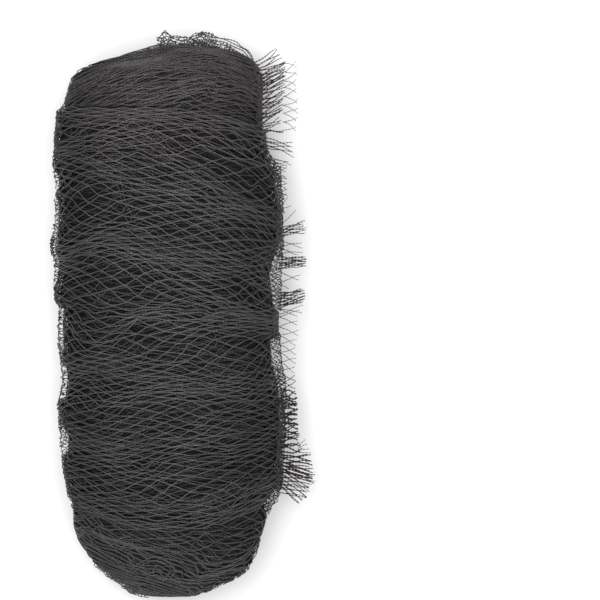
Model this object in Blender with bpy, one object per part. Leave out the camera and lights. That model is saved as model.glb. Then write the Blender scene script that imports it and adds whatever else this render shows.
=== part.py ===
"""Knitted bird netting wound into a soft, flattened roll, lying on its back.

The roll is one solid: a tight inner winding that shows as a cap at each end,
and a looser outer wrap whose two rims run slightly askew round the middle.
Two loose ends of the net show, each a thin sheet of its own: the cut edge,
a comb of cut bars along the right side, and a corner of selvedge that stands
out of the far end. Lengths in the tables are millimetres: +X to the right,
+Y along the roll to its far end, +Z up, with the resting face on z = 0.
"""
import math
from collections import namedtuple

import bpy

MM = 0.001
SEAT_GAP = 0.3

# Moves the tables' origin to the middle of the whole netting's box.
MIDDLE_X = 0.3
MIDDLE_Y = 0.7

# The wound roll ---------------------------------------------------------
POINTS_ROUND = 44
WIDEST_HEIGHT = 0.46
CROWN_POWER = 2.35
BASE_POWER = 2.4
BASE_PRESS = 5.0

# A row for each turn of the winding that shapes the roll. Bow is how far the turn's
# middle lies beyond its sides, to the far end.
Section = namedtuple("Section", "left_y right_y left_x right_x low_z high_z bow")

SECTIONS = (
    # far end, rounded over, a little askew
    Section(272.0, 266.0, -26.0, 46.0, 36.0, 70.0, 0.0),
    Section(269.5, 263.5, -35.0, 56.0, 25.0, 81.0, 1.0),
    Section(265.0, 259.5, -48.5, 66.5, 13.5, 91.0, 2.0),
    Section(259.0, 254.5, -68.0, 73.5, 6.0, 99.0, 3.0),
    Section(252.5, 248.5, -91.0, 78.0, 2.0, 104.0, 4.0),
    Section(245.5, 242.0, -107.0, 81.0, 0.0, 107.5, 5.0),
    Section(238.0, 235.5, -113.0, 82.0, 0.0, 109.5, 6.0),
    # inner winding, far cap
    Section(228.0, 226.0, -116.0, 82.0, 0.0, 111.0, 7.0),
    Section(215.0, 213.0, -119.0, 81.0, 0.0, 112.0, 7.5),
    Section(208.0, 191.5, -121.0, 81.5, 0.0, 111.5, 7.5),
    # outer wrap, far rim, askew
    Section(205.0, 188.0, -125.5, 84.5, 0.0, 117.0, 7.0),
    Section(197.0, 181.0, -127.5, 85.0, 0.0, 119.0, 7.0),
    Section(183.0, 171.0, -128.5, 85.5, 0.0, 118.0, 6.5),
    Section(169.0, 161.0, -129.0, 88.0, 0.0, 119.5, 6.0),
    # loose last turn starts on the right
    Section(157.0, 154.0, -130.0, 93.0, 0.0, 121.0, 5.5),
    Section(150.0, 149.0, -131.5, 98.5, 0.0, 122.5, 5.0),
    Section(141.0, 141.0, -129.0, 99.5, 0.0, 122.0, 5.0),
    Section(131.0, 131.0, -127.0, 99.0, 0.0, 120.5, 4.5),
    Section(117.0, 117.0, -128.5, 101.0, 0.0, 122.0, 4.0),
    Section(103.0, 103.0, -127.5, 101.5, 0.0, 123.0, 3.5),
    Section(86.0, 86.0, -129.0, 101.5, 0.0, 121.5, 3.0),
    Section(71.0, 71.0, -131.5, 102.0, 0.0, 123.0, 2.5),
    Section(63.0, 63.0, -131.5, 101.0, 0.0, 122.5, 2.0),
    Section(55.0, 55.0, -128.0, 100.5, 0.0, 121.0, 2.0),
    Section(41.0, 41.0, -128.5, 99.5, 0.0, 122.5, 1.5),
    Section(28.0, 28.0, -129.5, 99.5, 0.0, 124.0, 1.0),
    Section(15.0, 15.0, -129.0, 99.0, 0.0, 122.5, 0.5),
    Section(7.0, 7.0, -123.5, 99.0, 0.0, 121.0, 0.0),
    Section(-12.0, -12.0, -125.0, 98.5, 0.0, 122.5, -0.5),
    Section(-30.0, -30.0, -124.5, 98.5, 0.0, 123.5, -1.5),
    Section(-48.0, -48.0, -122.5, 100.0, 0.0, 121.5, -2.5),
    Section(-64.0, -64.0, -120.5, 103.5, 0.0, 122.5, -3.5),
    Section(-80.0, -80.0, -123.0, 104.5, 0.0, 123.5, -4.5),
    Section(-90.0, -90.0, -126.0, 104.0, 0.0, 122.5, -5.0),
    Section(-99.0, -99.0, -124.0, 102.5, 0.0, 121.0, -6.0),
    Section(-115.0, -115.0, -123.0, 104.0, 0.0, 121.5, -8.0),
    Section(-130.0, -130.0, -122.0, 102.5, 0.0, 120.0, -11.0),
    Section(-145.0, -145.0, -121.0, 101.5, 0.0, 120.5, -14.5),
    Section(-160.0, -160.0, -119.0, 101.0, 0.0, 119.0, -18.0),
    Section(-172.0, -175.0, -117.0, 98.5, 0.0, 118.0, -22.0),
    # outer wrap, near rim
    Section(-181.0, -187.0, -115.0, 94.0, 0.0, 115.5, -27.0),
    Section(-184.0, -190.5, -112.0, 89.5, 0.0, 110.5, -28.0),
    # inner winding, near cap
    Section(-197.0, -199.0, -111.0, 87.0, 0.0, 109.0, -26.0),
    Section(-212.0, -212.0, -110.5, 83.0, 0.0, 107.5, -22.0),
    Section(-226.0, -226.0, -106.0, 79.5, 0.0, 105.0, -18.0),
    Section(-240.0, -240.0, -97.0, 75.5, 0.0, 101.5, -13.0),
    Section(-249.0, -249.0, -90.5, 71.0, 1.5, 98.0, -9.0),
    # near end, rounded over
    Section(-257.0, -257.0, -82.0, 67.0, 4.5, 93.5, -6.0),
    Section(-265.0, -265.0, -72.0, 56.5, 10.0, 87.5, -3.5),
    Section(-273.0, -273.0, -59.5, 38.0, 18.0, 79.5, -1.5),
    Section(-279.5, -279.5, -50.0, 25.0, 28.0, 70.0, 0.0),
    Section(-283.0, -283.0, -34.0, 12.0, 38.0, 60.0, 0.0),
)

# The cut edge -----------------------------------------------------------
SHEET_THICKNESS = 1.6
STRIP_WIDTH = 3.0
STATION_APART = 0.4
TOOTH_ROOT = 0.7
TOOTH_MIDDLE = 0.6
TOOTH_TIP_WIDTH = 1.8
TOOTH_BEND = 0.55
DROOP = 0.35
SEAT_CLEAR = SEAT_GAP + SHEET_THICKNESS / 2.0 * math.sin(math.atan(DROOP))

# A row for each stretch of the cut edge, from the far end to the near end. Reach
# is how far its teeth stand out of the roll, and lean how far they point along it.
Stretch = namedtuple("Stretch", "start_y end_y teeth start_reach end_reach start_lean end_lean")
Tooth = namedtuple("Tooth", "root_y reach tip_y width")

STRETCHES = (
    Stretch(259.0, 232.0, 4, 20.0, 30.0, 13.0, 20.0),
    Stretch(231.0, 158.0, 8, 33.0, 29.0, 23.0, 14.0),
    Stretch(156.0, 114.0, 4, 10.0, 8.0, 3.0, 3.0),
    Stretch(112.0, 80.0, 4, 24.0, 21.0, 7.0, 2.0),
    Stretch(78.0, 61.0, 2, 23.0, 22.0, 3.0, 0.0),
    Stretch(59.5, 44.0, 3, 23.0, 24.0, 2.0, -1.0),
    Stretch(42.0, 30.0, 1, 22.0, 22.0, 1.0, 0.0),
    Stretch(28.0, 5.0, 4, 24.0, 25.0, 1.0, -4.0),
    Stretch(3.0, -56.0, 6, 24.0, 22.0, 2.0, -3.0),
    Stretch(-58.0, -84.0, 3, 14.0, 14.0, 2.0, 4.0),
    Stretch(-86.0, -126.0, 5, 17.0, 19.0, 4.0, -3.0),
    Stretch(-127.0, -145.0, 3, 20.0, 29.0, -3.0, -11.0),
    Stretch(-146.0, -183.0, 7, 31.0, 31.0, -13.0, -9.0),
)
TOOTH_SHORTER = 0.3
TOOTH_UNEVEN = (0.0, 0.7, 0.2, 1.0, 0.45)

# The loose corner of selvedge ------------------------------------------
CORNER_SEAT_Z = 58.0
CORNER_CURL = 7.0
CORNER_TURN = 0.75
CORNER_ROWS = 4

# A row for each rise and dip of the corner's free edge.
Lobe = namedtuple("Lobe", "root_x outer_x outer_y")

LOBES = (
    Lobe(-24.0, -27.0, 274.5),
    Lobe(-20.0, -24.0, 279.0),
    Lobe(-14.0, -17.0, 284.0),
    Lobe(-8.5, -10.0, 279.0),
    Lobe(-2.0, -2.0, 278.0),
    Lobe(5.0, 7.0, 278.5),
    Lobe(10.0, 14.0, 282.5),
    Lobe(15.0, 20.0, 283.5),
    Lobe(22.0, 30.0, 280.5),
    Lobe(30.0, 43.0, 277.0),
    Lobe(37.0, 55.0, 274.0),
    Lobe(43.0, 64.0, 268.5),
)

YARN_COLOUR = (0.050, 0.048, 0.047, 1.0)
YARN_ROUGHNESS = 0.62


def clear_scene():
    """Remove whatever the new file starts with."""
    for old in list(bpy.data.objects):
        bpy.data.objects.remove(old, do_unlink=True)


def make_material(name, colour, roughness):
    """A plain Principled finish."""
    material = bpy.data.materials.new(name)
    material.use_nodes = True
    shader = material.node_tree.nodes["Principled BSDF"]
    shader.inputs["Base Color"].default_value = colour
    shader.inputs["Roughness"].default_value = roughness
    shader.inputs["Metallic"].default_value = 0.0
    return material


def add_object(name, points, faces, material):
    """An object from points in the tables' millimetres."""
    mesh = bpy.data.meshes.new(name)
    placed = [((x - MIDDLE_X) * MM, (y - MIDDLE_Y) * MM, z * MM) for x, y, z in points]
    mesh.from_pydata(placed, [], faces)
    mesh.update()
    mesh.shade_smooth()
    mesh.materials.append(material)
    part = bpy.data.objects.new(name, mesh)
    bpy.context.scene.collection.objects.link(part)
    return part


def signed_power(value, power):
    """The value's power with its sign kept."""
    return math.copysign(abs(value) ** power, value)


def blend(start, end, share):
    """The value a share of the way from start to end."""
    return start + (end - start) * share


def widest_z(section):
    """The height at which a section of the roll is widest."""
    return blend(section.low_z, section.high_z, WIDEST_HEIGHT)


def section_point(section, angle):
    """A point round one section: a rounded crown over a base pressed flat."""
    crown = math.sin(angle) >= 0.0
    power = 2.0 / (CROWN_POWER if crown else BASE_POWER)
    across = signed_power(math.cos(angle), power)
    up = signed_power(math.sin(angle), power)
    share = (across + 1.0) / 2.0
    middle = widest_z(section)
    rise = section.high_z - middle
    fall = middle - section.low_z + BASE_PRESS
    z = middle + up * (rise if crown else fall)
    return (
        blend(section.left_x, section.right_x, share),
        blend(section.left_y, section.right_y, share) + section.bow * (1.0 - across * across),
        max(z, section.low_z),
    )


def wound_roll(material):
    """The wound roll: its sections joined from the near end to the far end."""
    points = []
    for section in reversed(SECTIONS):
        for step in range(POINTS_ROUND):
            points.append(section_point(section, math.tau * step / POINTS_ROUND))
    faces = []
    for row in range(len(SECTIONS) - 1):
        for step in range(POINTS_ROUND):
            after = (step + 1) % POINTS_ROUND
            near = row * POINTS_ROUND
            far = near + POINTS_ROUND
            faces.append((near + step, far + step, far + after, near + after))
    faces.append(tuple(range(POINTS_ROUND)))
    last = (len(SECTIONS) - 1) * POINTS_ROUND
    faces.append(tuple(last + step for step in reversed(range(POINTS_ROUND))))
    return add_object("wound_net", points, faces, material)


def right_side(y):
    """The widest point of the roll's right side, where the cut edge is seated."""
    for far, near in zip(SECTIONS, SECTIONS[1:]):
        if near.right_y <= y <= far.right_y:
            share = (y - near.right_y) / (far.right_y - near.right_y)
            x = blend(near.right_x, far.right_x, share)
            return x, blend(widest_z(near), widest_z(far), share)
    raise ValueError("the cut edge runs past the roll")


def sheet_body(part, thickness):
    """Give a sheet its thickness, half to each side."""
    solidify = part.modifiers.new("thickness", "SOLIDIFY")
    solidify.thickness = thickness * MM
    solidify.offset = 0.0
    solidify.use_even_offset = True
    return part


def cut_teeth():
    """Root, reach and width of every tooth, from the far end to the near end."""
    teeth = []
    for stretch in STRETCHES:
        pitch = (stretch.start_y - stretch.end_y) / stretch.teeth
        for index in range(stretch.teeth):
            share = (index + 0.5) / stretch.teeth
            root_y = blend(stretch.start_y, stretch.end_y, share)
            shorter = TOOTH_SHORTER * TOOTH_UNEVEN[len(teeth) % len(TOOTH_UNEVEN)]
            reach = blend(stretch.start_reach, stretch.end_reach, share) * (1.0 - shorter)
            tip_y = root_y + blend(stretch.start_lean, stretch.end_lean, share)
            teeth.append(Tooth(root_y, reach, tip_y, pitch * TOOTH_ROOT))
    return teeth


def strip_stations(teeth):
    """Where the strip has a point: at each tooth's edges and each section between."""
    edges = [tooth.root_y + side * tooth.width / 2.0 for tooth in teeth for side in (1, -1)]
    rows = [row.right_y for row in SECTIONS if edges[-1] < row.right_y < edges[0]]
    apart = [y for y in rows if min(abs(y - edge) for edge in edges) > STATION_APART]
    return sorted(edges + apart, reverse=True)


def tooth_row(tooth, share, breadth):
    """The two points across a tooth, a share of the way to its tip."""
    root_x, root_z = right_side(tooth.root_y)
    out = blend(STRIP_WIDTH, tooth.reach, share)
    y = blend(tooth.root_y, tooth.tip_y, share * share)
    z = root_z - DROOP * out
    x = root_x + SEAT_CLEAR + out
    return [(x, y + breadth / 2.0, z), (x, y - breadth / 2.0, z)]


def cut_edge(material):
    """The cut edge: a seated strip with one tooth for each bunch of cut bars."""
    teeth = cut_teeth()
    stations = strip_stations(teeth)
    points = []
    for y in stations:
        x, z = right_side(y)
        points.append((x + SEAT_CLEAR, y, z))
        points.append((x + SEAT_CLEAR + STRIP_WIDTH, y, z - DROOP * STRIP_WIDTH))
    faces = [(2 * i, 2 * i + 2, 2 * i + 3, 2 * i + 1) for i in range(len(stations) - 1)]
    for tooth in teeth:
        first = stations.index(tooth.root_y + tooth.width / 2.0)
        last = stations.index(tooth.root_y - tooth.width / 2.0)
        root = [2 * index + 1 for index in range(first, last + 1)]
        middle = len(points)
        points += tooth_row(tooth, TOOTH_BEND, tooth.width * TOOTH_MIDDLE)
        points += tooth_row(tooth, 1.0, TOOTH_TIP_WIDTH)
        faces.append(tuple(root) + (middle + 1, middle))
        faces.append((middle, middle + 1, middle + 3, middle + 2))
    return sheet_body(add_object("cut_edge", points, faces, material), SHEET_THICKNESS)


def far_face(x):
    """Where the flat of the roll's far end is, at a place across it."""
    end = SECTIONS[0]
    share = (x - end.left_x) / (end.right_x - end.left_x)
    return blend(end.left_y, end.right_y, share)


def loose_corner(material):
    """The corner of selvedge: lobes that stand out of the far end and curl over."""
    points = []
    for lobe in LOBES:
        seat_y = far_face(lobe.root_x) + SEAT_GAP + SHEET_THICKNESS / 2.0
        for row in range(CORNER_ROWS):
            share = row / (CORNER_ROWS - 1)
            x = blend(lobe.root_x, lobe.outer_x, share)
            y = blend(seat_y, lobe.outer_y, share)
            z = CORNER_SEAT_Z + CORNER_CURL * math.sin(math.pi * CORNER_TURN * share)
            points.append((x, y, z))
    faces = []
    for column in range(len(LOBES) - 1):
        for row in range(CORNER_ROWS - 1):
            first = column * CORNER_ROWS + row
            beside = first + CORNER_ROWS
            faces.append((first, beside, beside + 1, first + 1))
    return sheet_body(add_object("loose_corner", points, faces, material), SHEET_THICKNESS)


def build():
    """Make every piece of the netting."""
    clear_scene()
    yarn = make_material("net_yarn", YARN_COLOUR, YARN_ROUGHNESS)
    wound_roll(yarn)
    cut_edge(yarn)
    loose_corner(yarn)


build()
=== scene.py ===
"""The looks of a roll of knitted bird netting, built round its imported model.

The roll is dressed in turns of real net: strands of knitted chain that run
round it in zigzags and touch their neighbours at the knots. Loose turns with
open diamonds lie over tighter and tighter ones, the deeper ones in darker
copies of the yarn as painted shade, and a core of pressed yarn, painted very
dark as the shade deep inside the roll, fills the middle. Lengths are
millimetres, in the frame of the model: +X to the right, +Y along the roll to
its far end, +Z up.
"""
import math
from collections import namedtuple

import bpy
import numpy as np
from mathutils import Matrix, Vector
from mathutils.bvhtree import BVHTree


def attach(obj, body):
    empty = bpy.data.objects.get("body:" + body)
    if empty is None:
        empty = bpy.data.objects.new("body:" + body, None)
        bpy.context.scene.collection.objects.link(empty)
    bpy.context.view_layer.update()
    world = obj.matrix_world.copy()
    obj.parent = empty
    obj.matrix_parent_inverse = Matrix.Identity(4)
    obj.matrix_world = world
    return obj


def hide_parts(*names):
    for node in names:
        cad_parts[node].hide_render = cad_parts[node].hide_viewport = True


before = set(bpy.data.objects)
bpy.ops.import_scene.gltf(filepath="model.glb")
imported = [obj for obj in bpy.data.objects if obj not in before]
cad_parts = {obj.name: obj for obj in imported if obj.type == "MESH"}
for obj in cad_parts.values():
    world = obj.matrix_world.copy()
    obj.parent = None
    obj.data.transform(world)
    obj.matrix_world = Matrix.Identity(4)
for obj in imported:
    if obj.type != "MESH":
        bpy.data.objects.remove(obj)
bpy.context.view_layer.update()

MM = 0.001
BODY = "root"


def rows(kind, *table):
    """The rows of a table, with their columns named."""
    return [kind(*row) for row in table]


# The skin of the wound roll is read from the model in rings of points, struck
# by rays from its axis. Over the two ends the rays turn to the pole of each.
AXIS_X = -14.0
AXIS_Z = 52.0
STRAIGHT_HALF = 236.0
RING_APART = 2.0
RING_POINTS = 120
RING_RAYS = 240
END_RINGS = 28
END_TURN = 86.0
SKIN_SOFTNESS = 1.6
RAY_HEIGHT = 300.0

# The middle of each end's face, towards which the last rings close.
Pole = namedtuple("Pole", "x z")
FAR_POLE = Pole(9.0, 53.0)
NEAR_POLE = Pole(-11.0, 49.0)

# The stretch across the roll over which its ends' outlines are read.
END_LEFT = -100.0
END_RIGHT = 80.0
END_APART = 2.0

# How far the rows of net bend along the roll as they run across it, for rows
# at several places along the crown: at the roll's left side, half way to it,
# half way to the right side, and at the right side.
Bend = namedtuple("Bend", "crown left half_left half_right right")
WRAP_BENDS = rows(
    Bend,
    (-215, 20, 7, 7, 27),
    (-181, 12, 3, 7, 18),
    (-151, 2, -8, 2, 13),
    (-121, 0, -7, 1, 11),
    (-91, -6, -3, 3, 5),
    (-61, 4, 0, 1, 6),
    (-31, -8, -9, 6, 12),
    (-1, 8, 1, -3, -6),
    (29, 12, 5, -12, -22),
    (59, -3, 6, -7, -20),
    (89, -2, 3, -8, -24),
    (119, 12, 10, -16, -34),
    (149, 8, 11, -17, -36),
    (179, -8, 1, -8, -29),
    (204, 4, 0, -4, -18),
)
CAP_BENDS = rows(
    Bend,
    (-360, 0, 0, 0, 0),
    (-345, 10, 3, 1, 2),
    (-320, 34, 12, 0, 4),
    (-300, 42, 16, -3, -2),
    (-283, 43, 17, -8, -9),
    (-265, 42, 17, -13, -12),
    (-241, 34, 13, -12, -8),
    (-215, 24, 8, -2, 3),
    (-205, 21, 7, 1, 7),
    (-180, 13, 4, 4, 14),
    (184, -20, -8, 4, -6),
    (204, -22, -9, 8, -3),
    (222, -28, -11, 8, -4),
    (240, -33, -13, 5, -12),
    (272, -40, -16, 2, -24),
    (290, -36, -13, 1, -28),
    (312, -12, -4, 0, -10),
    (330, 0, 0, 0, 0),
)

# Where the wrap's two rims cross the crown, and how far a cap lies below.
FAR_RIM = 204.0
NEAR_RIM = -215.0
RIM_STEP = 5.0

# Where the wrap draws in at its sides and leaves a see-through strip of its
# folded edge: places along the roll, and the width of the strip.
Gap = namedtuple("Gap", "along wide")
LEFT_GAPS = rows(
    Gap,
    (-142, 0), (-137, 6.5), (-122, 7.5), (-112, 3), (-100, 1), (-88, 1), (-84, 5.2), (-53, 5),
    (-49, 2), (-38, 2), (-34, 4.5), (5, 4), (9, 0), (28, 0), (33, 2.5), (48, 3),
    (76, 3.5), (86, 3.6), (114, 3.2), (117, 0), (124, 0), (127, 3), (141, 3), (144, 0),
)
RIGHT_GAPS = rows(
    Gap,
    (-203, 0), (-197, 5), (-188, 9), (-178, 7), (-169, 1), (-150, 2.6), (-120, 2.6), (-108, 4),
    (-90, 4.5), (-82, 7), (-58, 8.5), (-52, 9.5), (-26, 9.5), (-21, 1), (2, 1), (8, 7),
    (28, 9.5), (40, 11.5), (52, 9.5), (62, 6), (78, 3.6), (84, 0), (94, -1), (104, 0.5),
    (112, 2.6), (124, 4), (134, 5), (142, 8), (156, 8), (164, 0),
)
GAP_POWER = 4.0

# The strips of folded edge. A row for each: its side (-1 left, 1 right), where
# it starts and ends along the roll, the length of its holes, how many of them
# lie side by side, how many layers there are, and how loosely its edge lies.
Lace = namedtuple("Lace", "side start end hole columns layers loose")
LACES = rows(
    Lace,
    (-1, 142, 126, 4.6, 1, 2, 0.3),
    (-1, 115, 86, 5.2, 1, 3, 0.5),
    (-1, 86, 47, 4, 1, 2, 1.8),
    (-1, 48, 30, 4.6, 1, 2, 0.5),
    (-1, 8, -35, 6.4, 1, 2, 0.7),
    (-1, -34, -51, 3.6, 1, 3, 0.5),
    (-1, -50, -87, 7, 1, 2, 0.4),
    (-1, -86, -108, 4, 1, 2, 0.6),
    (-1, -106, -140, 4.4, 2, 2, 0.8),
    (1, 162, 136, 5.2, 3, 3, 1.2),
    (1, 137, 101, 4.4, 2, 3, 1.6),
    (1, 84, 57, 4.6, 2, 3, 1.2),
    (1, 60, 3, 5, 3, 2, 0.7),
    (1, -21, -56, 5.2, 3, 2, 0.7),
    (1, -54, -88, 3.8, 3, 2, 0.9),
    (1, -86, -122, 4.2, 2, 3, 0.8),
    (1, -120, -168, 4.4, 1, 3, 0.6),
    (1, -168, -200, 7, 3, 4, 1.8),
)

# How far a strip runs on under the turns, how far its layers lie apart, and how
# uneven its strands and its outer edge are.
LACE_SEED = 43
LACE_TUCK = 2.5
LACE_APART = 1.6
LACE_UNEVEN_STEP = 0.4
LACE_UNEVEN_WIDTH = 0.28
LACE_UNEVEN_HEIGHT = 0.6
LACE_EDGE_SHARE = 0.2
LACE_EDGE_STEP = 1.5
LACE_EDGE_LENGTHS = (1.0, 1.8)
LACE_EDGE_WAVE = 0.45
LACE_EDGE_LOOSE = 0.4
LACE_EDGE_RISE = (0.5, 5.0)
LACE_GIRTH = 0.78
LACE_Z = 57.0

# Loose curls. A row for each bunch: its side, where it starts and ends along
# the roll, how far in from the roll's edge its inner and outer curls run, how
# many there are, how wide their loops are, how far these lie apart, and whether
# they lie on top of the turns.
Curls = namedtuple("Curls", "side start end inner outer count radius apart on_top")
CURLS = rows(
    Curls,
    (-1, 221, 196, 1.2, -0.8, 1, 1.6, 4.4, False),
    (-1, 203, 152, 4, 0.8, 2, 1.4, 5, True),
    (-1, 82, 48, 0.6, -1, 1, 1.5, 3.8, False),
    (-1, 30, 8, 4, 1.2, 2, 1.4, 4.6, True),
    (-1, 9, -34, 1.6, 1, 1, 1.5, 8.5, False),
    (-1, -50, -86, 2.2, 1.4, 1, 1.8, 9.5, False),
    (-1, -86, -97, 1.2, 0, 1, 2, 6, False),
    (-1, -98, -118, 4, 1, 2, 1.3, 3.8, True),
    (-1, -142, -196, 4, 0.8, 2, 1.4, 5, True),
    (1, 250, 186, 4, 1, 2, 1.3, 4.2, True),
    (1, 158, 138, 9, 1, 2, 1.5, 4, False),
    (1, 140, 62, 5, 0.5, 2, 1.4, 5.2, True),
    (1, 4, -24, 5, 0.8, 2, 1.4, 4.8, True),
    (1, -56, -88, 6, 0.8, 1, 1.4, 4.2, False),
    (1, -90, -172, 5, 0.5, 2, 1.4, 5.2, True),
)
CURL_GIRTH = 1.1

# How a curl's loops swell and sway along it, in how long waves.
CURL_POINTS_APART = 0.9
CURL_WAVES = (7.0, 4.1, 5.7)
CURL_UNEVEN = 0.225
CURL_SWAY = 1.3
CURL_STRETCH = 1.15
CURL_LIFT = 0.8

# How the lines that the curls at the sides follow wander.
CURL_SEED = 19
CURL_LINE_STEP = 2.0
CURL_LINE_LENGTHS = (7.0, 12.0)
CURL_LINE_WAVE = 0.8
CURL_LINE_RISE = 3.0
CURL_LINE_ENDS = 4.0
CURL_LINE_HEIGHTS = 5.0

# Strands that lie loose over the near end. A row for each: its two ends and
# the middle it passes on the way, and how thick it is.
Stray = namedtuple("Stray", "x0 y0 x1 y1 x2 y2 girth")
STRAYS = rows(
    Stray,
    (-55, -258, -44, -248, -33, -241, 1.1),
    (-51, -259, -41, -250, -31, -243.5, 1),
    (-33, -241.5, -21, -240, -6, -251, 1),
    (-32, -244, -19, -244, -10, -252, 0.9),
    (-42, -251, -34, -256, -25, -253.5, 1),
    (-25, -253.5, -20, -256, -17, -262, 1),
    (-22, -247, -27, -252, -32, -258.5, 1),
    (-36, -262, -27, -258, -19, -262.5, 0.9),
    (-49.5, -233.5, -52, -239, -46, -249, 1),
    (-49.5, -233.5, -47.5, -239, -45, -243, 1),
    (-61, -233, -54, -227, -48, -226, 0.9),
    (-5, -252.5, -12, -256, -18, -265.5, 1),
    (2, -254.5, -6, -255, -10, -261, 1),
    (-48, -223.5, -43, -232, -32, -238, 1),
    (-46, -228.5, -39, -237, -30, -241, 0.9),
    (-103, -194, -99, -202, -95, -208, 0.9),
    (-99, -202, -92, -199, -86, -202, 0.9),
    (-100, -217, -92, -211.5, -84, -219, 1),
    (-90, -227, -84, -220.5, -78, -219.5, 0.9),
    (-82, -220.5, -72, -226, -64, -233, 1),
    (-64, -241.5, -57, -248.5, -54, -256, 0.9),
    (-69, -239.5, -62, -246.5, -56, -254, 0.9),
    (-78, -206.5, -77, -212, -67, -214, 0.9),
    (-102, -194.5, -96, -199.5, -88, -207, 0.9),
    (-101, -212.5, -93, -210.5, -84, -206.5, 0.9),
    (-90, -200, -82, -207.5, -75, -213, 0.9),
    (-92, -219, -86, -212.5, -78, -208, 0.9),
    (-98.5, -213.5, -93, -218, -89.5, -224.5, 0.9),
    (-82.5, -211, -76, -221, -69, -227.5, 0.9),
    (-69.5, -230, -60, -222, -49, -218.5, 0.9),
    (14, -238, 26, -246, 40, -247, 0.9),
    (-14, -265, 2, -262, 20, -266, 0.9),
    (22, -214, 40, -219, 62, -217, 0.8),
    (30, -222, 48, -227, 70, -221, 0.8),
    (16, -226, 36, -233, 58, -232, 0.8),
    (40, -236, 54, -238, 70, -231, 0.8),
    (24, -243, 42, -246, 62, -240, 0.8),
    (10, -232, 24, -238, 40, -240, 0.8),
    (48, -209, 62, -212, 76, -207, 0.8),
    (36, -229, 50, -231.5, 72, -225, 0.8),
    (56, -218, 66, -218, 77, -212, 0.8),
    (20, -249, 34, -252, 52, -248, 0.8),
    (52, -244, 60, -241, 70, -235, 0.8),
    (8, -219, 20, -223, 34, -225, 0.8),
)
STRAY_SEED = 47
STRAY_POINTS = 12
STRAY_WAVE = 0.3
STRAY_RATES = (9.0, 14.0)
STRAY_SINK = 1.6

# Curls along the near end's outline: from one place across to another, how far
# they stand out, how wide their loops are and how far these lie apart.
EndCurls = namedtuple("EndCurls", "x0 x1 out radius apart")
END_CURLS = rows(
    EndCurls,
    (-88, -36, -1, 1.3, 3.2),
    (-76, -30, -2.4, 1.7, 4.4),
    (-62, -34, 0.2, 1.1, 3.4),
)
END_CURL_SEED = 53
END_CURL_GIRTH = 0.8
END_CURL_STEP = 1.5
END_CURL_SWAY = (0.5, 4.0)
END_CURL_RISE = (2.0, 6.0)

# Turns of net: half the length of a knot, how far a strand stays off a row's
# line so that its neighbour touches it there, how much a bar bows, how unevenly
# the rows of knots are spaced, and how far from its rims a turn lies calmer.
KNOT_HALF = 1.1
TOUCH = 0.38
CURVE_IN = 0.03
ROW_UNEVEN = 0.32
ROW_SWING = (0.1, 0.6)
ROW_START = 6.0
LEAST_OPEN_SHARE = 0.4
LEAST_COLUMNS = 6
RIM_CALM = 20.0

# How a turn's knots wander: how long the waves are along the roll, and how
# many there are in one round.
WAVES = 14
SLOW_ROUNDS = (1, 9)
DRIFT_LENGTHS = (40.0, 130.0)
SLIDE_LENGTHS = (60.0, 200.0)
JOLT = 0.75
JOLT_LENGTHS = (9.0, 26.0)
JOLT_ROUNDS = (10, 34)

# How open the wrap's diamonds are, at places along its crown.
Openness = namedtuple("Openness", "crown open")
OPENNESS = rows(
    Openness,
    (-215, 1), (-196, 0.9), (-184, 0.95), (-172, 1.45), (-160, 1.1), (-138, 0.95),
    (-110, 0.78), (-75, 0.85), (-50, 1), (0, 1), (20, 1.08), (38, 1.18),
    (58, 0.8), (75, 0.95), (110, 1.2), (148, 1.15), (165, 0.85), (204, 0.72),
)

# Places where the net is pulled: how far its diamonds open, and how its rows
# slope there, in mm along the roll for each mm across. Those between the
# rims pull the wrap's net, and the others the caps'. They begin at one height
# of the roll, and work fully where it has risen a little more.
Pull = namedtuple("Pull", "x y wide long open slope")
PULLS = rows(
    Pull,
    (-78, 14, 46, 42, 0.32, 0),
    (-84, 112, 55, 38, 0.1, 0),
    (0, -173, 44, 13, 0.45, 0),
    (20, -20, 60, 26, 0.15, 0),
    (48, 216, 17, 28, 0, 0.4),
    (-45, -205, 45, 11, 0.7, 0),
    (-90, -229, 30, 15, 0.9, 0),
    (-100, -219, 12, 9, 1.2, 0),
    (-88, -226, 12, 8, 1, 0),
    (-94, -238, 12, 8, 1, 0),
    (-84, -251, 13, 8, 0.9, 0),
    (-74, -221, 8, 6, 0.8, 0),
    (-40, -254, 24, 12, 0.9, -0.3),
    (10, -246, 30, 12, 0.2, -0.35),
    (54, -228, 46, 34, -0.62, 0),
    (40, -238, 24, 14, -0.25, 0),
)
PULL_FROM = 40.0
PULL_RISE = 30.0

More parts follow.
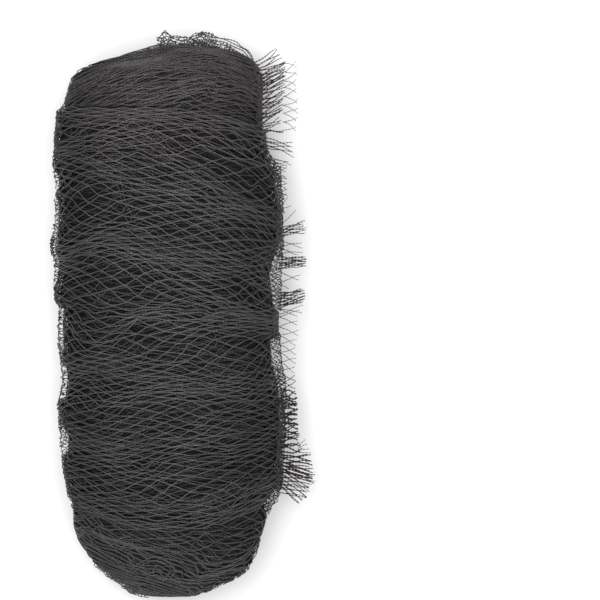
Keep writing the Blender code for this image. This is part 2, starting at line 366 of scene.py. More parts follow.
# A row for each turn of net that lies round the roll. Pitch is the space
# between its rows of knots, bar the length from knot to knot along a turn.
Turn = namedtuple(
    "Turn", "name start end pitch bar depth diameter sides bends pulled drift slide seed")
WRAP_TURNS = rows(
    Turn,
    ("wrap_first_turn", -215, 204, 3.7, 13.9, 0.6, 1.2, 4, 2, 0.8, 2, 3.5, 11),
    ("wrap_second_turn", -214, 203, 3.5, 13.9, 1.6, 1.2, 3, 2, 0.5, 2.4, 4, 23),
    ("wrap_third_turn", -213, 202, 3.3, 14.3, 2.6, 1.2, 3, 2, 0.3, 2.2, 5, 37),
    ("wrap_fourth_turn", -213, 202, 3, 14.5, 3.8, 1.3, 3, 1, 0.1, 1.6, 8, 41),
)
CAP_TURNS = rows(
    Turn,
    ("far_cap_first_turn", 188, 316, 2.9, 14.6, 0.6, 1.15, 3, 2, 1, 1.2, 5, 53),
    ("far_cap_second_turn", 186, 300, 2.7, 14.6, 1.5, 1.15, 3, 1, 1, 1.2, 5, 59),
    ("far_cap_third_turn", 184, 286, 2.6, 14.6, 2.4, 1.2, 3, 1, 1, 1.2, 5, 57),
    ("near_cap_first_turn", -345, -172, 4, 14.6, 0.6, 1.2, 3, 2, 1, 2.2, 5, 61),
    ("near_cap_second_turn", -318, -172, 4.4, 14.6, 1.6, 1.2, 3, 2, 0.7, 2.2, 5, 67),
    ("near_cap_third_turn", -303, -172, 4, 14.6, 2.6, 1.2, 3, 1, 0.4, 2.2, 5, 71),
)

# The pressed yarn in the middle of the roll, and how deep it lies.
CORE_ROWS = 150
CORE_POINTS = 96
CORE_DEPTH = 3.2
CORE_WRAP_DEPTH = 3.0
CORE_SLOPE = 8.0

# The knitted chain that every bar of the net is made of, where it stands free.
CHAIN_WIDTH = 1.3
CHAIN_THICK = 0.75
CHAIN_STEP = 0.65
CHAIN_SIDES = 4
STITCH = 3.4

# The loose corner of selvedge that stands up past the far end. A row for each
# rise and dip of its free edge: where it leaves the roll, and where it lies.
Lobe = namedtuple("Lobe", "root_x outer_x outer_y")
LOBES = rows(
    Lobe,
    (-24.5, -25, 273.5), (-20, -22.5, 278.5), (-14, -17.3, 283.2), (-8.5, -11, 279),
    (-2, -2, 277.5), (5, 7, 277.2), (10, 14, 281), (15, 19.5, 282.6),
    (22, 30, 279), (30, 42, 276), (38, 54.5, 272), (46, 65, 264.5),
    (58, 70.5, 256), (66, 73, 250),
)

# Its long strands and its curls: how far out they lie, as a share, and where
# along the corner they start and end. Curls have the width of their loops too,
# and how far these lie apart.
Arc = namedtuple("Arc", "level start end")
CORNER_ARCS = rows(
    Arc,
    (1, 0, 1), (0.93, 0.02, 0.55), (0.9, 0.5, 0.97), (0.74, 0.08, 0.5),
    (0.72, 0.62, 0.95), (0.5, 0.64, 0.94), (0.45, 0.04, 0.4), (0.3, 0.66, 0.96),
    (0.2, 0, 0.6),
)
CornerCurl = namedtuple("CornerCurl", "level start end radius apart")
CORNER_CURLS = rows(
    CornerCurl,
    (0.75, 0, 0.42, 2.4, 7), (0.5, 0.03, 0.45, 2.2, 6), (0.25, 0, 0.5, 1.7, 4.5),
    (0.92, 0.5, 0.63, 1.6, 3.2), (0.75, 0.47, 0.66, 1.6, 3.2), (0.6, 0.46, 0.66, 1.5, 3.2),
    (0.45, 0.42, 0.7, 1.5, 3.2), (0.3, 0.38, 0.72, 1.4, 3.2), (0.15, 0.3, 0.74, 1.4, 3),
    (0, 0.36, 0.7, 1.4, 3), (0.12, 0.7, 0.98, 1.4, 3.8), (0.3, 0.74, 0.92, 1.2, 4.2),
    (0.62, 0.68, 0.8, 1.4, 3.8), (0.1, 0.4, 0.68, 1.6, 2.6), (0.22, 0.42, 0.64, 1.6, 2.6),
    (0.4, 0.44, 0.6, 1.6, 2.6),
)
CORNER_SEED = 29
CORNER_POINTS = 40
CORNER_SEAT = 57.0
CORNER_RISE = 7.0
CORNER_TUCK = 2.0
ARC_WAVE = 0.05
ARC_RATES = (25.0, 45.0)
LOOP_WAVE = 0.1
LOOP_RATES = (12.0, 30.0)

# The cut edge. A row for each stretch of net that stands out past the roll, from
# the far end. Its bars leave the roll between the two roots, and its cut tips
# end between the two tips. A strand passes "cross" of its neighbours on the
# way, and meets the first of them at the place "meet". A stretch starts at the
# side of the roll, or at "root_x" where its row ends with one.
Fray = namedtuple(
    "Fray", "root_high root_low tip_x_high tip_high tip_x_low tip_low"
            " strands cross meet fork layers girth root_x", defaults=(0.0,))
FRAYS = rows(
    Fray,
    (252, 246.5, 92, 268, 99.5, 260.5, 2, 0.5, 0.75, 0.9, 1, 1.2),
    (244, 228, 102.5, 256, 103, 240.5, 4, 0.9, 0.45, 1, 2, 1),
    (229, 191, 102, 242.5, 100, 203, 8, 0.8, 0.4, 1, 2, 1),
    (252, 186, 115, 257, 115.5, 183, 8, 1, 0.8, 0.75, 1, 0.7, 100.5),
    (190, 185, 97.5, 198.5, 100, 191, 2, 0.8, 0.5, 1, 1, 0.95),
    (184.6, 182.2, 100.7, 185.6, 100.5, 183.4, 1, 1, 0.6, 1, 1, 1.5),
    (177, 167, 109, 173, 111, 158, 3, 0.9, 0.5, 1, 1, 1.05),
    (158.5, 155, 108, 153.5, 109, 149.5, 1, 1, 0.5, 1, 1, 0.8),
    (152, 145, 104.5, 151.5, 104.2, 145.5, 2, 0.5, 0.5, 1, 1, 0.7),
    (141, 117, 104.5, 138, 105, 118, 4, 0.6, 0.5, 1, 1, 0.85),
    (108.5, 105.5, 105.2, 118, 109, 109.5, 1, 0, 0.5, 1, 1, 0.7),
    (90.5, 77, 113.2, 103.5, 117, 94, 1, 0, 0.5, 1, 1, 0.7),
    (87, 79, 121.5, 95.5, 123.5, 81, 3, 0.8, 0.4, 1, 2, 0.85),
    (73, 68, 121, 72, 120, 66.8, 1, 1, 0.46, 1, 1, 0.8),
    (65.3, 60.7, 121.8, 62.6, 117.7, 60, 1, 1, 0.5, 1, 1, 0.8),
    (58, 46, 123, 57.5, 123.5, 48.5, 4, 1, 0.4, 1, 2, 0.92),
    (43, 30, 120.7, 39, 118.3, 35, 1, 1, 0.6, 1, 1, 0.8),
    (30, 20, 107.5, 25, 119.5, 23, 1, 0, 0.5, 1, 1, 0.8),
    (21.5, 5, 121.5, 26, 122.5, 13, 5, 1, 0.4, 1, 2, 1),
    (5, 0, 120.5, 9.5, 120.6, 1, 1, 1, 0.5, 1, 1, 0.8),
    (5, -56, 117.5, 4.5, 112.5, -60.5, 7, 1, 0.6, 0.78, 1, 0.75),
    (-60, -76, 112.8, -60.5, 113.3, -73.5, 2, 1, 0.5, 0.9, 1, 1),
    (-78, -87, 113.4, -76, 115.2, -86, 2, 0.6, 0.5, 1, 1, 1.8),
    (-89, -109, 114.5, -88.5, 115.5, -108, 4, 0.5, 0.5, 1, 2, 1.6),
    (-109, -128, 116, -110, 117, -127, 3, 0.8, 0.6, 1, 2, 1.55),
    (-131, -138, 118, -127, 119.5, -140, 2, 0.8, 0.6, 1, 1, 1.9),
    (-133.5, -137.5, 123.7, -125, 129.3, -140, 3, 0, 0.5, 1, 1, 0.7, 115.5),
    (-141, -158, 128, -142, 133, -171, 5, 0.9, 0.4, 1, 2, 1.45),
    (-156, -178, 133, -166, 119, -193, 6, 1.8, 0.35, 1, 2, 1),
)

# How the cut strands start under the turns, droop, bend, wave, and thin out
# towards their tips, and how uneven they are.
FRAY_SEED = 7
FRAY_POINTS = 17
FRAY_TIP_GIRTH = 0.6
FRAY_DROOP = 0.3
FRAY_UNDER = 2.5
FRAY_BEND = 0.6
FRAY_PAST = 0.6
FRAY_LAYER_APART = 1.3
FRAY_LAYER_SHIFT = 0.8
FRAY_LENGTHS = (-0.12, 0.05)
FRAY_WAVES = (0.3, 1.0)
FRAY_WAVE_RATES = (5.0, 6.0)
FRAY_FREE = 3.0
FRAY_HEIGHTS = 0.5
FRAY_UNEVEN = 0.15

# Finishes. A row for each depth of yarn: its colour, the colour it has towards
# the far end, and how much it shines. The inner, third and deep yarns are
# darker copies of the black yarn: painted shade for the turns that lie deeper.
DyeAndShade = namedtuple("DyeAndShade", "name colour warm shine")
DYES_AND_SHADES = rows(
    DyeAndShade,
    ("black_yarn", (0.072, 0.072, 0.072), (0.079, 0.074, 0.073), 0.3),
    ("inner_yarn_painted_shade", (0.056, 0.056, 0.056), (0.061, 0.057, 0.056), 0.2),
    ("third_yarn_painted_shade", (0.040, 0.040, 0.040), (0.044, 0.041, 0.040), 0.1),
    ("deep_yarn_painted_shade", (0.021, 0.021, 0.021), (0.024, 0.022, 0.021), 0.0),
    ("cut_yarn", (0.040, 0.028, 0.024), (0.060, 0.035, 0.029), 0.2),
    ("loose_yarn", (0.094, 0.096, 0.100), (0.094, 0.096, 0.100), 0.35),
)
FIBRE_SCALE = 2600.0
FIBRE_HEIGHT = 0.25

# The pressed yarn's two tones, both painted very dark as the shade deep inside
# the roll, and the scale, distortion, detail and detail scale of its lines.
CORE_DARK = (0.008, 0.008, 0.008, 1.0)
CORE_LIGHT = (0.024, 0.024, 0.024, 1.0)
CORE_LINES = (95.0, 5.0, 2.0, 1.5)

# How strong each bump is, and how high in metres.
YARN_BUMP = (0.6, 0.0003)
CORE_BUMP = (0.8, 0.0006)

# Fades: where each starts and ends, and the value it goes from and to. The
# first three change over the roll, in metres, and the others over a stitch.
Fade = namedtuple("Fade", "start end first last")
WARMER = Fade(0.02, 0.22, 0.0, 1.0)
# The yarn is painted darker towards the near end and towards the sides: painted shade, where
# the light falls off.
NEAR_END_PAINTED_SHADE = Fade(-0.13, 0.0, 0.86, 1.0)
SIDES_PAINTED_SHADE = Fade(0.028, 0.115, 1.0, 0.62)
STITCH_RISE = Fade(0.0, 0.5, 0.0, 1.0)
# Each stitch is painted lighter at its crest and darker in its dips: painted highlight and
# shade.
STITCH_LIGHT_AND_SHADE = Fade(0.0, 1.0, 0.75, 1.2)

# Clouds over the roll: the scale of each, and its lowest and highest value.
Cloud = namedtuple("Cloud", "scale low high")
BROAD_TONE = Cloud(38.0, 0.84, 1.16)
FINE_TONE = Cloud(330.0, 0.62, 1.38)
YARN_ROUGH = Cloud(90.0, 0.42, 0.62)
CORE_ROUGH = Cloud(60.0, 0.8, 0.95)
CLOUD_SPREAD = (0.3, 0.7)

# The colour sockets of a mixing node, which has others of the same names.
MIX_FIRST = 6
MIX_SECOND = 7
MIX_RESULT = 2

# Camera, floor and light, in metres
CAMERA_SENSOR = 36.0
CAMERA_LENS = 176.0
CAMERA_AT = (0.1177, 0.0143, 3.0)
FLOOR_HALF = 8.0
FLOOR_COLOUR = (0.9, 0.9, 0.9, 1.0)
FLOOR_ROUGH = 0.9
ROOM_COLOUR = (1.0, 1.0, 1.0, 1.0)
ROOM_LIGHT = 0.8
LAMP_AT = Vector((-0.15, 0.1, 1.75))
LAMP_SIZE = (0.9, 2.2)
LAMP_WATTS = 30.0


def between(table, place, value, at):
    """A column's values at places between a table's rows."""
    places = [getattr(row, place) for row in table]
    return np.interp(at, places, [getattr(row, value) for row in table])


def ease(value):
    """A smooth step from 0 to 1."""
    share = np.clip(value, 0.0, 1.0)
    return share * share * (3.0 - 2.0 * share)


def mix(first, last, share):
    """A value part of the way from one to another."""
    return first + (last - first) * share


def jitter(draw, most, count=None):
    """Random values either way from nought."""
    return draw.uniform(-most, most, count)


def wave(phase, draw):
    """A wave along a line, with a random start."""
    return np.sin(phase + draw.uniform(0.0, math.tau))


def swell(at, kind, draw):
    """A gentle rise and fall of a size and a length."""
    size, length = kind
    return size * wave(at / length, draw)


def summed(steps):
    """How far along each step ends, from nought."""
    return np.concatenate([[0.0], np.cumsum(steps)])


def line_run(line):
    """How far along a line each of its points lies."""
    return summed(np.linalg.norm(np.diff(line, axis=0), axis=1))


def on_line(line, run, at):
    """Points at some lengths along a line."""
    return np.stack([np.interp(at, run, line[:, axis]) for axis in range(3)], axis=1)


def model_tree():
    """The model's wound roll, ready to be struck by rays, in millimetres."""
    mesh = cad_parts["wound_net"].data
    points = [vertex.co / MM for vertex in mesh.vertices]
    faces = [tuple(face.vertices) for face in mesh.polygons]
    return BVHTree.FromPolygons(points, faces)


def ring_on(tree, origin, turn, side):
    """The points where rays from one place on the axis leave the roll."""
    ring = []
    for step in range(RING_RAYS):
        angle = math.tau * step / RING_RAYS - math.pi / 2.0
        flat = math.cos(turn)
        ray = Vector((flat * math.cos(angle), side * math.sin(turn), flat * math.sin(angle)))
        ring.append(tree.ray_cast(origin, ray)[0])
    return even_ring(np.array(ring, float))


def even_ring(ring):
    """The same ring with its points at even lengths, from the middle of the base."""
    closed = np.vstack([ring, ring[:1]])
    run = line_run(closed)
    return on_line(closed, run, np.linspace(0.0, run[-1], RING_POINTS, endpoint=False))


def end_rings(tree, pole, side):
    """Rings that close over one end of the roll."""
    rings = []
    for step in range(1, END_RINGS + 1):
        share = step / END_RINGS
        origin = Vector((mix(AXIS_X, pole.x, share), side * STRAIGHT_HALF,
                         mix(AXIS_Z, pole.z, share)))
        rings.append(ring_on(tree, origin, math.radians(END_TURN) * share, side))
    return rings


def soften(rings, softness):
    """Smooth each ring along its own length."""
    count = rings.shape[1]
    waves = np.fft.rfftfreq(count) * 2.0 * math.pi
    keep = np.exp(-0.5 * (waves * softness) ** 2)
    return np.fft.irfft(np.fft.rfft(rings, axis=1) * keep[None, :, None], n=count, axis=1)


class Skin:
    """The roll's outer surface, by place along the crown and share of a turn."""

    def __init__(self):
        self.tree = model_tree()
        self.points = soften(self._rings(), SKIN_SOFTNESS)
        self.along = self._along()
        self.outward = self._outward()
        lengths = np.linalg.norm(np.roll(self.points, -1, 1) - self.points, axis=2)
        self.girth = lengths.sum(axis=1)
        across = self.points[:, :, 0]
        low = across.min(axis=1)[:, None]
        high = across.max(axis=1)[:, None]
        self.across = (across * 2.0 - low - high) / np.maximum(high - low, 1.0)

    def _rings(self):
        """Rings round the roll, from the near pole to the far one."""
        straight = np.arange(-STRAIGHT_HALF, STRAIGHT_HALF + RING_APART / 2.0, RING_APART)
        middle = [ring_on(self.tree, Vector((AXIS_X, y, AXIS_Z)), 0.0, 1.0) for y in straight]
        far = end_rings(self.tree, FAR_POLE, 1.0)
        near = end_rings(self.tree, NEAR_POLE, -1.0)
        return np.array(near[::-1] + middle + far)

    def _along(self):
        """Where each ring crosses the crown, measured along the crown."""
        crown = self.points[:, RING_POINTS // 2]
        steps = np.linalg.norm(np.diff(crown, axis=0), axis=1)
        steps[END_RINGS:-END_RINGS] = RING_APART
        run = summed(steps)
        return run - run[END_RINGS] - STRAIGHT_HALF

    def _outward(self):
        """Unit vectors that point out of the roll."""
        round_ring = np.roll(self.points, -1, 1) - np.roll(self.points, 1, 1)
        along_roll = np.gradient(self.points, axis=0)
        outward = np.cross(along_roll, round_ring)
        return outward / np.maximum(np.linalg.norm(outward, axis=2, keepdims=True), 1e-9)

    def _look_up(self, grid, along, turn):
        """A value of the grid, between its points."""
        row = np.interp(along, self.along, np.arange(len(self.along)))
        column = np.mod(turn, 1.0) * RING_POINTS
        low = np.minimum(row.astype(int), len(self.along) - 2)
        left = column.astype(int) % RING_POINTS
        right = (left + 1) % RING_POINTS
        up = row - low
        over = column - np.floor(column)
        if grid.ndim == 3:
            up, over = up[..., None], over[..., None]
        lower = grid[low, left] * (1 - over) + grid[low, right] * over
        upper = grid[low + 1, left] * (1 - over) + grid[low + 1, right] * over
        return lower * (1 - up) + upper * up

    def place(self, along, turn, depth):
        """Points that lie a depth inside the skin."""
        skin = self._look_up(self.points, along, turn)
        return skin - self._look_up(self.outward, along, turn) * np.asarray(depth)[..., None]

    def side(self, along, turn):
        """How far across the roll a place is: -1 at the left and 1 at the right."""
        return self._look_up(self.across, along, turn)

    def round(self, along):
        """The length of one turn round the roll."""
        return np.interp(along, self.along, self.girth)

    def edge(self, y, side=1):
        """The roll's outermost point on one side of the section at y, as x and z."""
        rings = range(len(self.points))
        best = self.points[rings, (self.points[:, :, 0] * side).argmax(axis=1)]
        best = best[np.argsort(best[:, 1])]
        return np.interp(y, best[:, 1], best[:, 0]), np.interp(y, best[:, 1], best[:, 2])

    def end_edge(self, x, way):
        """How far along y the roll's far (1) or near (-1) end reaches, at x."""
        points = self.points.reshape(-1, 3)
        places = np.arange(END_LEFT, END_RIGHT + END_APART / 2.0, END_APART)
        reach = [(points[np.abs(points[:, 0] - place) < END_APART, 1] * way).max()
                 for place in places]
        return np.interp(x, places, reach) * way

    def top(self, x, y):
        """The height of the roll's upper surface at places seen from above."""
        down = Vector((0.0, 0.0, -1.0))
        hits = [self.tree.ray_cast(Vector((*at, RAY_HEIGHT)), down)[0] for at in zip(x, y)]
        return np.array([hit.z if hit else AXIS_Z for hit in hits])


def bent(bends, crown, side):
    """Where a row of net lies along the roll, given its place on the crown.

    A smooth curve runs across the roll through the five columns of a bend, the
    third of which is the crown's own nought, with one more beyond each side.
    """
    left, half_left, half_right, right = (
        between(bends, "crown", name, crown) for name in Bend._fields[1:])
    columns = (2.0 * left - half_left, left, half_left, 0.0, half_right, right,
               2.0 * right - half_right)
    at = np.clip((side + 1.0) * 2.0, 0.0, 4.0)
    first = np.minimum(at.astype(int), 3)
    part = at - first
    shares = (
        -0.5 * part + part ** 2 - 0.5 * part ** 3,
        1.0 - 2.5 * part ** 2 + 1.5 * part ** 3,
        0.5 * part + 2.0 * part ** 2 - 1.5 * part ** 3,
        -0.5 * part ** 2 + 0.5 * part ** 3,
    )
    along = crown
    for step, share in enumerate(shares):
        along = along + share * np.choose(first + step, columns)
    return along


def gap(y, side):
    """The width of the see-through strip at one side, at places along the roll."""
    return between(LEFT_GAPS if side < 0 else RIGHT_GAPS, "along", "wide", y)


def drawn_in(points):
    """Draw a turn in at the sides, where a strip of folded edge stands out."""
    low, high = points[..., 0].min(), points[..., 0].max()
    side = (points[..., 0] * 2.0 - low - high) / (high - low)
    inward = np.where(side < 0.0, gap(points[..., 1], -1), -gap(points[..., 1], 1))
    moved = points.copy()
    moved[..., 0] += inward * np.abs(side) ** GAP_POWER
    return moved


class Wander:
    """A smooth random drift over the roll, the same on every run."""

    def __init__(self, seed, size, lengths, rounds=SLOW_ROUNDS):
        draw = np.random.RandomState(seed)
        self.rounds = draw.randint(*rounds, WAVES)
        self.rates = 1.0 / draw.uniform(*lengths, WAVES) * draw.choice([-1, 1], WAVES)
        self.starts = draw.uniform(0.0, math.tau, WAVES)
        self.size = size * math.sqrt(2.0 / WAVES)

    def at(self, along, turn):
        """The drift at a place, in millimetres."""
        total = 0.0
        for rounds, rate, start in zip(self.rounds, self.rates, self.starts):
            total = total + np.sin(math.tau * (rounds * turn + along * rate) + start)
        return total * self.size


def under_rim(skin, along, turn, depth):
    """Points of a cap's net, which keeps its own level where it runs below the wrap."""
    side = skin.side(along, turn)
    far = bent(WRAP_BENDS, FAR_RIM, side) + RIM_STEP
    near = bent(WRAP_BENDS, NEAR_RIM, side) - RIM_STEP
    level = np.where(along > 0.0, np.maximum(along, far), np.minimum(along, near))
    points = skin.place(level, turn, depth)
    points[..., 1] += along - level
    return points


class Net:
    """One turn of net: where its knots lie, and the strands between them."""

    def __init__(self, turn, skin, cap):
        self.turn = turn
        self.skin = skin
        self.cap = cap
        self.drift = Wander(turn.seed + 1, turn.drift, DRIFT_LENGTHS)
        self.slide = Wander(turn.seed + 2, turn.slide, SLIDE_LENGTHS)
        self.jolt = Wander(turn.seed + 3, JOLT, JOLT_LENGTHS, JOLT_ROUNDS)
        self.rows = self._rows()

    def _rows(self):
        """Where the rows of knots cross the crown, now close and now apart."""
        turn = self.turn
        count = int(round((turn.end - turn.start) / turn.pitch))
        draw = np.random.RandomState(turn.seed)
        swing = np.cumsum(draw.uniform(*ROW_SWING, count)) + draw.uniform(0.0, ROW_START)
        apart = 1.0 + ROW_UNEVEN * np.sin(swing)
        if not self.cap:
            even = np.linspace(turn.start, turn.end, count)
            opened = between(OPENNESS, "crown", "open", even) - 1.0
            apart = apart * (1.0 + opened * max(turn.pulled, LEAST_OPEN_SHARE))
        run = summed(apart)
        return turn.start + (turn.end - turn.start) * run / run[-1]

    def pulled(self, crown, share):
        """How far the pulls draw the net along the roll at a place."""
        flat = self.skin.place(crown, share, 0.0)
        top = ease((flat[..., 2] - PULL_FROM) / PULL_RISE)
        total = 0.0
        for pull in PULLS:
            if self.cap == (NEAR_RIM < pull.y < FAR_RIM):
                continue
            x = flat[..., 0] - pull.x
            y = crown - pull.y
            near = np.exp(-(x / pull.wide) ** 2 - (y / pull.long) ** 2)
            total = total + (pull.open * y + pull.slope * x) * near
        return total * top * self.turn.pulled

    def knots(self, index, columns):
        """The knots that one strand passes, as crown places and shares of a turn."""
        turn = self.turn
        upper = (np.arange(columns) + index) % 2
        crown = self.rows[index + upper]
        share = np.arange(columns) / columns
        calm = ease((crown - turn.start) / RIM_CALM) * ease((turn.end - crown) / RIM_CALM)
        drift = self.drift.at(crown, share) + self.jolt.at(crown, share)
        drift = drift + self.pulled(crown, share)
        slide = self.slide.at(crown, share) / self.skin.round(crown)
        return crown + drift * calm + np.where(upper == 1, -TOUCH, TOUCH), share + slide

    def strand(self, index):
        """The points of one strand that zigzags round the roll."""
        middle = (self.rows[index] + self.rows[index + 1]) / 2.0
        pairs = int(round(self.skin.round(middle) / self.turn.bar / 2.0))
        columns = max(LEAST_COLUMNS, pairs * 2)
        crown, share = self.knots(index, columns)
        half = KNOT_HALF / self.skin.round(crown)
        into = share - half
        out = share + half
        next_crown = np.roll(crown, -1)
        next_into = np.roll(into, -1)
        next_into[-1] += 1.0
        shares = [into, out]
        crowns = [crown, crown]
        for bend in range(self.turn.bends):
            way = (bend + 1.0) / (self.turn.bends + 1.0)
            shares.append(mix(out, next_into, way))
            crowns.append(mix(crown, next_crown, way - CURVE_IN * math.sin(math.tau * way)))
        return self.lay(np.stack(crowns, axis=1).ravel(), np.stack(shares, axis=1).ravel())

    def lay(self, crown, share):
        """Places of the net laid on the roll."""
        bends = CAP_BENDS if self.cap else WRAP_BENDS
        along = bent(bends, crown, self.skin.side(crown, share))
        if self.cap:
            return under_rim(self.skin, along, share, self.turn.depth)
        return self.skin.place(along, share, self.turn.depth)


def curled(line, radius, apart, draw):
    """A yarn that runs along a line in loose loops."""
    run = line_run(line)
    count = int(run[-1] / (CURL_POINTS_APART * apart / math.tau / radius))
    at = np.linspace(0.0, run[-1], max(4, count))
    points = on_line(line, run, at)
    ahead = np.gradient(points, axis=0)
    ahead /= np.linalg.norm(ahead, axis=1, keepdims=True)
    across = np.cross(ahead, (0.0, 0.0, 1.0))
    start = draw.uniform(0.0, math.tau, 5)
    slow, quick, sway = CURL_WAVES
    swelling = np.sin(start[0] + at / slow) + np.sin(start[1] + at / quick)
    turn = math.tau * at / apart + start[2] + CURL_SWAY * np.sin(start[3] + at / sway)
    size = radius * (1.0 + CURL_UNEVEN * swelling)
    lift = CURL_LIFT * size * np.sin(turn * 0.5 + start[4])
    return (points + across * (size * np.cos(turn))[:, None]
            + ahead * (CURL_STRETCH * size * np.sin(turn))[:, None]
            + np.array([0.0, 0.0, 1.0]) * lift[:, None])


def lace_zigzag(skin, row, column, layer, draw):
    """One strand of a strip, to and fro between two rows of its holes."""
    steps = max(4, int((row.start - row.end) / row.hole * 2.0))
    at = np.arange(steps + 1.0) + jitter(draw, 0.5) + jitter(draw, LACE_UNEVEN_STEP, steps + 1)
    y = row.start - at * row.hole / 2.0
    x, _ = skin.edge(y, row.side)
    inward = (column + np.arange(steps + 1) % 2) / row.columns
    inward = inward + jitter(draw, LACE_UNEVEN_WIDTH, steps + 1) / row.columns
    out = row.loose * draw.uniform(0.0, 1.0, steps + 1) * (inward < LACE_EDGE_SHARE)
    x = x - row.side * ((gap(y, row.side) + LACE_TUCK) * inward - out)
    level = LACE_APART * (layer - (row.layers - 1.0) / 2.0)
    z = LACE_Z + level + jitter(draw, LACE_UNEVEN_HEIGHT, steps + 1)
    return np.stack([x, y, z], axis=1)


def lace_edge(skin, row, draw):
    """The strand that runs along the outside of a strip."""
    y = np.arange(row.start + LACE_EDGE_STEP, row.end - LACE_EDGE_STEP, -LACE_EDGE_STEP)
    x, _ = skin.edge(y, row.side)
    size = LACE_EDGE_WAVE * (row.loose + LACE_EDGE_LOOSE)
    x = x + row.side * size * wave(y / draw.uniform(*LACE_EDGE_LENGTHS), draw)
    z = LACE_Z + swell(y, LACE_EDGE_RISE, draw)
    return np.stack([x, y, z], axis=1)


def lace_strands(skin):
    """Every strand of the strips of folded edge."""
    draw = np.random.RandomState(LACE_SEED)
    paths = []
    for row in LACES:
        for layer in range(row.layers):
            for column in range(row.columns):
                paths.append(lace_zigzag(skin, row, column, layer, draw))
        paths.append(lace_edge(skin, row, draw))
    return paths


def through(first, middle, last, share):
    """A curve from one value through a second to a third."""
    return (first * ((1.0 - share) * (1.0 - 2.0 * share))
            + middle * (4.0 * share * (1.0 - share))
            + last * (share * (2.0 * share - 1.0)))


def stray_strands(skin):
    """The strands that lie loose over the near end."""
    draw = np.random.RandomState(STRAY_SEED)
    at = np.linspace(0.0, 1.0, STRAY_POINTS)
    paths = []
    for row in STRAYS:
        aside = STRAY_WAVE * wave(at * draw.uniform(*STRAY_RATES), draw)
        x = through(row.x0, row.x1, row.x2, at) + aside
        y = through(row.y0, row.y1, row.y2, at) - aside
        z = skin.top(x, y) - STRAY_SINK * (2.0 * at - 1.0) ** 6
        paths.append(np.stack([x, y, z], axis=1))
    return paths


def end_curls(skin):
    """Curls that stand out along the outline of the near end."""
    draw = np.random.RandomState(END_CURL_SEED)
    paths = []
    for row in END_CURLS:
        x = np.arange(row.x0, row.x1, END_CURL_STEP)
        y = skin.end_edge(x, -1) - row.out + swell(x, END_CURL_SWAY, draw)
        z = NEAR_POLE.z + swell(x, END_CURL_RISE, draw)
        paths.append(curled(np.stack([x, y, z], axis=1), row.radius, row.apart, draw))
    return paths


def side_curls(skin):
    """The curls in the strips where the last turn stands off the roll."""
    draw = np.random.RandomState(CURL_SEED)
    paths = []
    for row in CURLS:
        for index in range(row.count):
            in_from = mix(row.inner, row.outer, (index + 0.5) / row.count)
            early, late = jitter(draw, CURL_LINE_ENDS, 2)
            y = np.arange(row.start + early, row.end + late, -CURL_LINE_STEP)
            x, z = skin.edge(y, row.side)
            sway = wave(y / draw.uniform(*CURL_LINE_LENGTHS), draw)
            x = x - row.side * (in_from + row.radius * 0.5 + CURL_LINE_WAVE * sway)
            z = z + CURL_LINE_RISE * sway + jitter(draw, CURL_LINE_HEIGHTS)
            if row.on_top:
                z = skin.top(x, y)
            line = np.stack([x, y, z], axis=1)
            paths.append(curled(line, row.radius, row.apart, draw))
    return paths


def corner(skin, along, out):
    """A place on the loose corner: a share along it, and a share out to its free edge."""
    places = np.linspace(0.0, 1.0, len(LOBES))
    root_x, outer_x, outer_y = (np.interp(along, places, column) for column in zip(*LOBES))
    root_y = skin.end_edge(root_x, 1) - CORNER_TUCK
    z = CORNER_SEAT + CORNER_RISE * out * out
    return np.stack([mix(root_x, outer_x, out), mix(root_y, outer_y, out), z], axis=-1)


def corner_strands(skin):
    """The strands of the loose corner: its edge, open loops, curls and long arcs."""
    draw = np.random.RandomState(CORNER_SEED)
    paths = []
    for row in CORNER_ARCS:
        share = np.linspace(row.start, row.end, CORNER_POINTS)
        out = row.level + ARC_WAVE * wave(share * draw.uniform(*ARC_RATES), draw)
        paths.append(corner(skin, share, out))
    for row in CORNER_CURLS:
        share = np.linspace(row.start, row.end, CORNER_POINTS)
        out = row.level + LOOP_WAVE * wave(share * draw.uniform(*LOOP_RATES), draw)
        paths.append(curled(corner(skin, share, out), row.radius, row.apart, draw))
    return paths


def fray_strand(skin, fray, first, last, layer, draw):
    """One cut strand: from the roll, past its crossings, to its free tip."""
    out = np.linspace(0.0, 1.0, FRAY_POINTS)
    gone = np.where(out < fray.meet, 0.5 * out / fray.meet,
                    0.5 + (fray.fork - 0.5) * (out - fray.meet) / (1.0 - fray.meet))
    gone = (1.0 - FRAY_BEND) * gone + FRAY_BEND * ease(gone)
    share = mix(first, last, gone)
    root_y = mix(fray.root_high, fray.root_low, share)
    root_x, root_z = skin.edge(root_y)
    if fray.root_x > 0.0:
        root_z = root_z - FRAY_DROOP * (fray.root_x - root_x)
        root_x = np.full(FRAY_POINTS, fray.root_x)
    else:
        root_x = root_x - FRAY_UNDER * (1.0 - out)
    reach = out * (1.0 + draw.uniform(*FRAY_LENGTHS))
    x = mix(root_x, mix(fray.tip_x_high, fray.tip_x_low, share), reach)
    y = mix(root_y, mix(fray.tip_high, fray.tip_low, share), reach)
    z = root_z - FRAY_DROOP * (x - root_x) - FRAY_LAYER_APART * layer
    start = draw.uniform(0.0, math.tau, 4)
    y_rate, z_rate = FRAY_WAVE_RATES
    free = fray.girth * ease(out * FRAY_FREE)
    y = y + draw.uniform(*FRAY_WAVES) * free * np.sin(start[0] + out * y_rate)
    y = y + jitter(draw, FRAY_LAYER_SHIFT) * layer
    z = z + draw.uniform(*FRAY_WAVES) * free * np.sin(start[1] + out * z_rate)
    z = z + jitter(draw, FRAY_HEIGHTS)
    return np.stack([x, y, z], axis=1)


